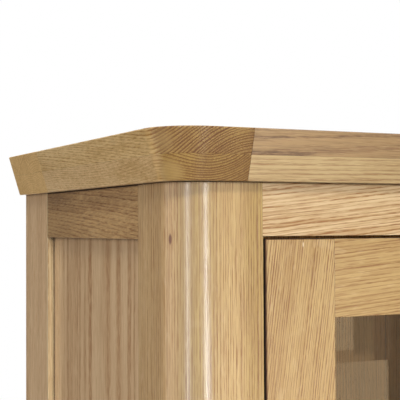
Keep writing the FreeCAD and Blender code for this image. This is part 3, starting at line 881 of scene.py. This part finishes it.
for side, sign in (("left", -1), ("right", 1)):
    for part, pith_in in (("hinge_stile", 0.09), ("meeting_stile", -0.08)):
        node = "door_" + side + "_" + part
        low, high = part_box(node)
        pith = ((low.x + high.x) / 2 - sign * pith_in, low.y + stile_pith_back, 0)
        lean = (0, -8.0) if node == "door_left_hinge_stile" else (0, 0.4)
        finish = oak("oak_" + node, 2, pith, tilt=lean, **door_colors, **stile_grain)
        if node == "door_left_hinge_stile":
            fleck = Vector((-0.3277, low.y, 1.7156))
            marked(finish, fleck, fleck_size, shade(248, 230, 196), 0.8)
            # Its hinge edge is painted darker, as the painted shade of the gap beside it, and loses its
            # lacquer
            start, end = (low.x + reach for reach in hinge_edge)
            tinted(finish, 0, start, end, shade(124, 92, 44))
            dulled(finish, 0, start, end)
        shade_in_the_gap(finish, high)
        dress(node, finish, 0)
    for part, lean in (("rail_top", 5.0), ("rail_bottom", -2.0)):
        node = "door_" + side + "_" + part
        low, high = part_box(node)
        pith = (0, low.y + rail_pith[0], low.z + rail_pith[1])
        finish = oak("oak_" + node, 0, pith, tilt=(lean, 0), **rail_grain, **door_colors)
        shade_in_the_gap(finish, high)
        dress(node, finish)

# Glazing beads
# Square oak beads, rounded on the edge that shows and mitred at the corners, pinned into the rebate
# behind the glass. The upright ones and the level ones each have grain along them.
bead_round = 0.0025
bead_steps = 5
bead_pith = (0.2, 0.05)


def outward(part):
    """The same skin with its faces turned outwards: the volume under its faces comes out positive."""
    points, faces = part
    volume = 0.0
    for face in faces:
        first = points[face[0]]
        for second, third in zip(face[1:], face[2:]):
            volume += np.dot(first, np.cross(points[second], points[third]))
    return (points, faces) if volume > 0 else (points, [face[::-1] for face in faces])


def mitred(section, first, last):
    """
    A bead between two mitred corners. Each corner is (x, z, inward x, inward z), and a point of the
    section that stands so far inward moves by as much in x and in z there.
    """
    inward, y = section.T
    rings = []
    for x, z, way_x, way_z in (first, last):
        rings.append(np.column_stack([x + way_x * inward, y, z + way_z * inward]))
    return outward(tube(np.array(rings)))


for side in ("left", "right"):
    node = "door_" + side + "_beads"
    low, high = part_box(node)
    stile_low, stile_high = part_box("door_" + side + "_hinge_stile")
    width = stile_high.x - low.x if side == "left" else high.x - stile_low.x
    angle = np.linspace(0, np.pi / 2, bead_steps + 1)
    shoulder = width - bead_round + bead_round * np.cos(angle)
    back = high.y - bead_round + bead_round * np.sin(angle)
    section = np.array([(0.0, low.y), (width, low.y), *zip(shoulder, back), (0.0, high.y)])
    places = rectangle((low.x, high.x), (low.z, high.z))
    corners = [(*place, *way) for place, way in zip(places, rectangle((1, -1), (1, -1)))]
    sticks = [mitred(section, corners[i - 1], corners[i]) for i in (1, 2, 3, 0)]
    pith = Vector((low.x + bead_pith[0], low.y + bead_pith[1], 0))
    for name, parts, along in (("level", sticks[0::2], 0), ("upright", sticks[1::2], 2)):
        finish = oak("oak_" + node + "_" + name, along, pith, lacquer=0.3, **door_colors)
        add(node + "_" + name, joined(parts), finish, "door_" + side, node)

# Door glass
# Clear float glass, 4 mm thick, laid in the rebate behind the frame and held by the beads. Light from
# the lamps passes it with a faint tint.
glass, glass_tree = bare_material("door_glass")
glass_look = {
    "Base Color": shade(246, 250, 247),
    "Roughness": 0.015,
    "IOR": 1.5,
    "Transmission Weight": 1.0,
}
clear = put(glass_tree, "BsdfPrincipled", glass_look).outputs[0]
through = put(glass_tree, "BsdfTransparent", {"Color": shade(240, 246, 242)}).outputs[0]
lamp_ray = put(glass_tree, "LightPath", {}).outputs["Is Shadow Ray"]
both = put(glass_tree, "MixShader", {0: lamp_ray, 1: clear, 2: through})
put(glass_tree, "OutputMaterial", {"Surface": both.outputs[0]})
for side in ("left", "right"):
    dress("door_" + side + "_glass", glass, 0)

# Hinges and strike plates
# Solid drawn brass butts, three to a door, let into the post and the door's edge and held by
# countersunk screws. A brass plate behind each door meets the catch.
tarnish_scale = (140.0, 140.0, 140.0)
drawn_scale = (2500.0, 2500.0, 60.0)
brass, brass_tree = bare_material("brass")
tarnish = noise(brass_tree, object_place(brass_tree), tarnish_scale)
drawn = noise(brass_tree, object_place(brass_tree), drawn_scale, 1.0)
drawn_bump = put(brass_tree, "Bump", {"Height": drawn, "Strength": 0.3, "Distance": 0.00005})
brass_look = {
    "Base Color": blended(brass_tree, tarnish, shade(214, 178, 108), shade(186, 146, 82)),
    "Metallic": 1.0,
    "Roughness": calc(brass_tree, "MULTIPLY_ADD", tarnish, 0.2, 0.22),
    "Normal": drawn_bump.outputs[0],
}
surfaced(brass_tree, brass_look)
leaf_post_low, leaf_post_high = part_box("hinge_post_leaves_left")
door_low, door_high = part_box("door_left_hinge_stile")
hinge_count = 3
hinge_length = 0.064
leaf_width = 0.020
leaf_thickness = 0.0016
leaf_round = 0.003
leaf_arris = 0.0002
leaf_gap = 0.0004
round_steps = 5
knuckle_radius = 0.0032
knuckle_gap = 0.0003
knuckle_count = 3
knuckle_steps = 36
pivot_gap = 0.001
screw_radius = 0.0027
screw_slot = 0.0004
screw_rise = 0.00015
screw_count = 3
screw_steps = 13
screw_line_share = 0.42
screw_stagger_share = 0.24
slot_turn = 0.6
pivot = np.array((door_low.x - pivot_gap, leaf_post_low.y + knuckle_radius))
hinge_bottoms = np.linspace(leaf_post_low.z, leaf_post_high.z - hinge_length, hinge_count)


def leaf_skins(leaf_x, face_x, bottom, first_knuckle):
    """
    One leaf: a flat plate, every second knuckle from first_knuckle up, each a full circle that runs
    on into the plate, and slotted screw heads, each two halves of a disc, on the face at face_x.
    """
    y = (door_low.y, door_low.y + leaf_width)
    z = (bottom, bottom + hinge_length)
    plate_radii = [leaf_arris, leaf_round, leaf_round, leaf_arris]
    plate = rounded_outline(rectangle(y, z), plate_radii, [1, round_steps, round_steps, 1])
    parts = [run(plate, 0, leaf_x, leaf_arris, leaf_arris)]
    start, end = (math.acos((x - pivot[0]) / knuckle_radius) for x in leaf_x)
    turn = np.linspace(start, end + 2 * np.pi, knuckle_steps)
    way = np.column_stack([np.cos(turn), np.sin(turn)])
    tail = [(leaf_x[1], y[0] + leaf_arris), (leaf_x[0], y[0] + leaf_arris)]
    curl = (
        np.concatenate([pivot + way * knuckle_radius, tail]),
        np.concatenate([way, [(1.0, 0.0), (-1.0, 0.0)]]),
    )
    pitch = (hinge_length + knuckle_gap) / knuckle_count
    for i in range(first_knuckle, knuckle_count, 2):
        ends = (bottom + i * pitch, bottom + (i + 1) * pitch - knuckle_gap)
        parts.append(run(curl, 2, ends, leaf_arris, leaf_arris))
    rise = math.copysign(screw_rise, face_x - sum(leaf_x) / 2)
    half_turn = math.acos(screw_slot / screw_radius)
    arc = np.linspace(-half_turn, half_turn, screw_steps)
    for i in range(screw_count):
        screw_y = y[0] + leaf_width * (screw_line_share + screw_stagger_share * (i % 2))
        middle = np.array((screw_y, bottom + hinge_length * (i + 0.5) / screw_count))
        for lie in (slot_turn + i, slot_turn + i + math.pi):
            way = np.column_stack([np.cos(arc + lie), np.sin(arc + lie)])
            head = (middle + way * screw_radius, way)
            parts.append(run(head, 0, sorted((face_x - rise, face_x + rise)), 0.0, 0.0))
    return joined([outward(part) for part in parts])


post_leaf_x = (leaf_post_low.x, leaf_post_low.x + leaf_thickness)
door_leaf_x = (post_leaf_x[1] + leaf_gap, post_leaf_x[1] + leaf_gap + leaf_thickness)
post_leaves = joined([leaf_skins(post_leaf_x, post_leaf_x[1], bottom, 0) for bottom in hinge_bottoms])
door_leaves = [leaf_skins(door_leaf_x, door_leaf_x[0], bottom, 1) for bottom in hinge_bottoms]
strike_thickness = 0.001
strike_round = 0.002
catch_low, catch_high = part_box("door_catches")
nose_height = 0.01
nose_x = (-0.047, -0.021)
nose_z = (catch_low.z, catch_low.z + nose_height)
strike_plate = rounded_outline(rectangle(nose_z, nose_x), [strike_round] * 4, [round_steps] * 4)
strike = run(strike_plate, 1, (door_high.y, door_high.y + strike_thickness), 0.0, leaf_arris)
door_metal = joined(door_leaves + [outward(strike)])
for side in ("left", "right"):
    for node, skin, body in (
        ("hinge_post_leaves_" + side, post_leaves, "carcass"),
        ("door_" + side + "_hinge_leaves", door_metal, "door_" + side),
    ):
        metal = skin if side == "left" else flipped(skin)
        add(node + "_brass", metal, brass, body, node)

# Catches
# Brown moulded plastic magnetic catches, screwed up behind the top rail, one for each door.
speck_scale = (900.0, 900.0, 900.0)
plastic, plastic_tree = bare_material("catch_plastic")
speck = noise(plastic_tree, object_place(plastic_tree), speck_scale)
speck_bump = put(plastic_tree, "Bump", {"Height": speck, "Strength": 0.3, "Distance": 0.0001})
plastic_look = {
    "Base Color": blended(plastic_tree, speck, shade(92, 62, 40), shade(78, 52, 34)),
    "Roughness": 0.45,
    "Normal": speck_bump.outputs[0],
}
surfaced(plastic_tree, plastic_look)
catch_round = 0.002
catch_back_arris = 0.0002
catch_margin = 0.007
nose_round = 0.0004
nose_root_arris = 0.0001
catch_body_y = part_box("front_rail_top")[1].y
catch_x = (nose_x[0] - catch_margin, nose_x[1] + catch_margin)
catch_section = rounded_outline(
    rectangle(catch_x, (catch_body_y, catch_high.y)),
    [catch_back_arris, catch_back_arris, catch_round, catch_round],
    [1, 1, round_steps, round_steps],
)
nose_section = rounded_outline(
    rectangle(nose_x, (catch_low.y, catch_body_y)),
    [nose_round, nose_round, nose_root_arris, nose_root_arris],
    [2, 2, 1, 1],
)
catch_body = run(catch_section, 2, (catch_low.z, catch_high.z), catch_round / 2, catch_round / 2)
left_catch = joined([catch_body, run(nose_section, 2, nose_z, nose_round, nose_round)])
catches = joined([left_catch, flipped(left_catch)])
add("door_catches_moulded", catches, plastic, "carcass", "door_catches")

# Drawers
# Oak fronts with the sides dovetailed into them, a back dovetailed between the sides, and a base
# held in grooves. Only the fronts are fully lacquered.
drawer_colors = {"Light": shade(226, 190, 134), "Dark": shade(182, 140, 86)}
box_side = 0.012
tail_slope = 1 / 6
tail_count = 4
drawer_pith = (0.08, -0.06)


def back_share(tree, low, high):
    """Where a drawer's box is its back: between the sides, and at the pins between their tails."""
    x, y, z = split(tree, object_place(tree))
    off_middle = calc(tree, "ABSOLUTE", calc(tree, "SUBTRACT", x, (low.x + high.x) / 2))
    inner = calc(tree, "LESS_THAN", off_middle, (high.x - low.x) / 2 - box_side)
    pitch = (high.z - low.z) / tail_count
    step = calc(tree, "FRACT", calc(tree, "DIVIDE", calc(tree, "SUBTRACT", z, low.z), pitch))
    off_tail = calc(tree, "ABSOLUTE", calc(tree, "SUBTRACT", step, 0.5))
    behind = calc(tree, "SUBTRACT", y, high.y - box_side)
    tail = calc(tree, "MULTIPLY_ADD", behind, tail_slope, pitch / 4)
    beside = calc(tree, "GREATER_THAN", calc(tree, "MULTIPLY", off_tail, pitch), tail)
    pin = calc(tree, "MULTIPLY", beside, calc(tree, "GREATER_THAN", behind, 0.0))
    return calc(tree, "MAXIMUM", inner, pin)


for body in ("drawer_left", "drawer_right"):
    for part, along in (("front", 0), ("box", 1), ("base", 0)):
        node = body + "_" + part
        low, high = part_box(node)
        pith = ((low.x + high.x) / 2, low.y + drawer_pith[0], low.z + drawer_pith[1])
        crossed = (0, lambda tree: back_share(tree, low, high)) if part == "box" else None
        gloss = 1.0 if part == "front" else 0.15
        finish = oak("oak_" + node, along, pith, lacquer=gloss, crossed=crossed, **drawer_colors)
        dress(node, finish, joint_arris if part == "front" else 0)

# Knobs
# Turned from oak on a spigot that is glued into the door or the drawer front: a round foot, a
# waisted neck and a domed head.
knob_reach = 0.028
knob_radius = 0.016
knob_spigot = (0.0045, -0.012)
knob_foot = (0.010, 0.0024, 0.001)
knob_neck = (0.0075, 0.0072, 55.0)
knob_neck_end = 0.0098
knob_head_half = 0.0095
knob_head_turn = (27.0, 178.5)
knob_head_flatness = 0.8
knob_foot_points = 6
knob_neck_points = 10
knob_head_points = 34
knob_around = 48
knob_pith = (0.02, -0.03)


def knob_profile():
    """
    Radius and reach from the door's face: the spigot and the foot are straight with a quarter round,
    the neck is a shallow parabola, and the head is a flattened ellipse, thin at its pole.
    """
    radius, reach, ease = knob_foot
    angle = np.linspace(0, np.pi / 2, knob_foot_points)
    foot = np.column_stack([radius - ease + ease * np.cos(angle), reach + ease * np.sin(angle)])
    waist, middle, widening = knob_neck
    along = np.linspace(reach + ease, knob_neck_end, knob_neck_points)
    neck = np.column_stack([waist + widening * (along - middle) ** 2, along])
    turn = np.linspace(*(math.radians(a) for a in knob_head_turn), knob_head_points)
    rise = knob_reach - knob_head_half - knob_head_half * np.cos(turn)
    head = np.column_stack([knob_radius * np.sin(turn) ** knob_head_flatness, rise])
    spigot = [knob_spigot, (knob_spigot[0], 0.0), (radius, 0.0)]
    return np.concatenate([spigot, foot, neck, head])


def spun(profile, x, face, z):
    """A turned piece about a line along Y: each point of the profile goes once round it."""
    turn = np.linspace(0, 2 * np.pi, knob_around, endpoint=False)
    radius, reach = profile.T[:, :, None]
    y = np.broadcast_to(face - reach, (len(profile), knob_around))
    return outward(tube(np.stack([x + radius * np.sin(turn), y, z + radius * np.cos(turn)], -1)))


for body in ("door_left", "door_right", "drawer_left", "drawer_right"):
    node = body + "_knob"
    low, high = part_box(node)
    x, z = (low.x + high.x) / 2, (low.z + high.z) / 2
    turned_knob = spun(knob_profile(), x, low.y + knob_reach, z)
    pith = (x + knob_pith[0], 0, z + knob_pith[1])
    finish = oak("oak_" + node, 1, pith, **{"Ring Width": 0.002, **door_colors})
    add(node + "_turned", turned_knob, finish, body, node)

# Floor, cards and room
# A pale studio floor in a white room, whose light leans to one side. Toned cards stand round it and
# are seen only on mirrored paths, so that the glass and the lacquer have something to reflect.
floor_reach = 4.0
floor_color = shade(236, 235, 232)
floor_glow = 0.3


def stage_plane(name, corners, material):
    """A flat piece of the studio, which isn't part of the object, through four corners."""
    mesh = bpy.data.meshes.new(name)
    mesh.from_pydata(corners, [], [(0, 1, 2, 3)])
    mesh.materials.append(material)
    plane = bpy.data.objects.new(name, mesh)
    bpy.context.scene.collection.objects.link(plane)
    plane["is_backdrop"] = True
    return plane


def light_path(tree):
    """Light Path's sockets, and masks of paths that were mirrored and of paths never scattered."""
    path = put(tree, "LightPath", {}).outputs
    turned_back = calc(tree, "SUBTRACT", path["Ray Depth"], path["Transmission Depth"])
    mirrored = calc(tree, "GREATER_THAN", turned_back, 0.5)
    return path, mirrored, calc(tree, "LESS_THAN", path["Diffuse Depth"], 0.5)


floor_paint, floor_tree = bare_material("floor_paint")
floor_seen = put(floor_tree, "LightPath", {}).outputs["Is Camera Ray"]
floor_look = {
    "Base Color": floor_color,
    "Roughness": 0.8,
    "Emission Color": floor_color,
    "Emission Strength": calc(floor_tree, "MULTIPLY", floor_seen, floor_glow),
}
surfaced(floor_tree, floor_look)
floor_side = (-floor_reach, floor_reach)
stage_plane("floor", [(x, y, 0) for x, y in rectangle(floor_side, floor_side)], floor_paint)

# Each card: its two ends in plan, its foot, its top and its tone
cards = (
    ((-2.6, 1.5), (-0.5, 2.65), 0.2, 3.2, "dark"),
    ((1.496, -2.5), (2.9, -1.9), 1.267, 3.2, "umber"),
    ((1.482, -2.5), (2.9, -1.9), 0.2, 1.267, "umber"),
    ((1.422, -2.5), (1.496, -2.5), 1.267, 3.2, "walnut"),
    ((1.338, -2.5), (1.422, -2.5), 1.29, 3.2, "brown"),
    ((0.6, -2.5), (1.422, -2.5), 1.267, 1.31, "fawn"),
    ((0.6, -2.6), (3.1, -2.6), 0.2, 1.42, "sand"),
    ((0.0, -2.6), (3.1, -2.6), 1.42, 3.2, "linen"),
)
card_tones = {
    "dark": shade(84, 78, 72),
    "umber": shade(197, 176, 147),
    "walnut": shade(247, 214, 177),
    "brown": shade(283, 247, 198),
    "fawn": shade(331, 280, 220),
    "sand": shade(379, 330, 265),
    "linen": shade(226, 208, 176),
}
card_depth = 3.5
card_paints = {}
for tone, color in card_tones.items():
    card_paints[tone], tree = bare_material("card_" + tone)
    path, mirrored, direct = light_path(tree)
    early = calc(tree, "LESS_THAN", path["Ray Depth"], card_depth)
    shown = calc(tree, "MULTIPLY", calc(tree, "MULTIPLY", mirrored, early), direct)
    unseen = put(tree, "BsdfTransparent", {}).outputs[0]
    glow = put(tree, "Emission", {"Color": color, "Strength": 1.0}).outputs[0]
    card_side = put(tree, "MixShader", {0: shown, 1: unseen, 2: glow})
    put(tree, "OutputMaterial", {"Surface": card_side.outputs[0]})
for i, (near, far, foot, top, tone) in enumerate(cards):
    outline = [(*near, foot), (*far, foot), (*far, top), (*near, top)]
    card = stage_plane("card_%d" % i, outline, card_paints[tone])
    for kind in ("camera", "diffuse", "shadow", "volume_scatter"):
        setattr(card, "visible_" + kind, False)

ambient = 0.22
ambient_lean = 0.22
world = bpy.data.worlds.new("studio")
bpy.context.scene.world = world
world.use_nodes = True
sky = world.node_tree
sky.nodes.clear()
path, mirrored, direct = light_path(sky)
through_glass = calc(sky, "MULTIPLY", path["Is Transmission Ray"], calc(sky, "SUBTRACT", 1.0, mirrored))
shown = calc(sky, "MAXIMUM", path["Is Glossy Ray"], through_glass)
seen = calc(sky, "MULTIPLY", calc(sky, "MAXIMUM", path["Is Camera Ray"], shown), direct)
toward_x = split(sky, put(sky, "TexCoord", {}).outputs["Generated"])[0]
room_light = calc(sky, "MULTIPLY_ADD", toward_x, -ambient_lean, ambient)
background = put(sky, "Background", {"Color": white, "Strength": mixed(sky, seen, room_light, 1.0)})
put(sky, "OutputWorld", {"Surface": background.outputs[0]})

# Lamps
# Two soft lamps above the front, an upright one on each side of the camera, and beside each of these
# a wider one that lights the gloss alone. None of them lights the glass.
corner = Vector((carcass_left, carcass_front, post_high.z))
lamp_color = (1.0, 0.98, 0.95)
gloss_color = (0.94, 1.0, 1.1)
lit = bpy.data.collections.new("lit by lamps")
for piece in bpy.context.scene.objects:
    if piece.type == "MESH" and not piece.name.endswith("glass"):
        lit.objects.link(piece)


def lamp_at(name, azimuth, elevation, distance, width, height, power, color, matt=True):
    """A soft rectangular lamp facing the top's left front corner, from an azimuth right of the front."""
    data = bpy.data.lights.new(name, "AREA")
    data.shape = "RECTANGLE"
    data.size = width
    data.size_y = height
    data.energy = power
    data.color = color
    lamp = bpy.data.objects.new(name, data)
    bpy.context.scene.collection.objects.link(lamp)
    turn, rise = math.radians(azimuth), math.radians(elevation)
    away = Vector((math.sin(turn) * math.cos(rise), -math.cos(turn) * math.cos(rise), math.sin(rise)))
    lamp.location = corner + away * distance
    lamp.rotation_euler = away.to_track_quat("Z", "Y").to_euler()
    lamp.light_linking.receiver_collection = lit
    lamp.visible_diffuse = matt


lamp_at("lamp_above", -25, 51, 2.6, 1.2, 0.5, 44, lamp_color)
lamp_at("lamp_overhead", 0, 85, 2.4, 1.6, 1.2, 16, lamp_color)
lamp_at("lamp_front", 9, -7, 2.6, 0.42, 1.5, 15, lamp_color)
lamp_at("lamp_left", -49, -7, 2.4, 0.34, 1.5, 11.5, lamp_color)
lamp_at("gloss_front", 11, -7, 2.65, 0.85, 1.5, 20, gloss_color, matt=False)
lamp_at("gloss_left", -50, -7, 2.45, 0.7, 1.5, 2, gloss_color, matt=False)

# Camera
# It stands close to the top's left front corner, a little below it, and looks up slightly.
camera_offset = Vector((-0.31879, -0.67964, -0.03347))
camera_yaw, camera_pitch, camera_roll = (math.radians(a) for a in (26.38, 1.489, 0.273))
camera_data = bpy.data.cameras.new("camera")
camera_data.lens = 95.80
camera_data.sensor_width = 36
camera_data.clip_start = 0.02
camera = bpy.data.objects.new("camera", camera_data)
bpy.context.scene.collection.objects.link(camera)
ahead_level = Vector((math.sin(camera_yaw), math.cos(camera_yaw), 0))
rightward = Vector((math.cos(camera_yaw), -math.sin(camera_yaw), 0))
upward = Vector((0, 0, 1))
ahead = ahead_level * math.cos(camera_pitch) + upward * math.sin(camera_pitch)
above = upward * math.cos(camera_pitch) - ahead_level * math.sin(camera_pitch)
x_axis = rightward * math.cos(camera_roll) - above * math.sin(camera_roll)
y_axis = rightward * math.sin(camera_roll) + above * math.cos(camera_roll)
camera_turn = Matrix((x_axis, y_axis, -ahead)).transposed().to_4x4()
camera.matrix_world = Matrix.Translation(corner + camera_offset) @ camera_turn
bpy.context.scene.camera = camera
bpy.context.scene.view_settings.view_transform = "Standard"

low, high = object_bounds()
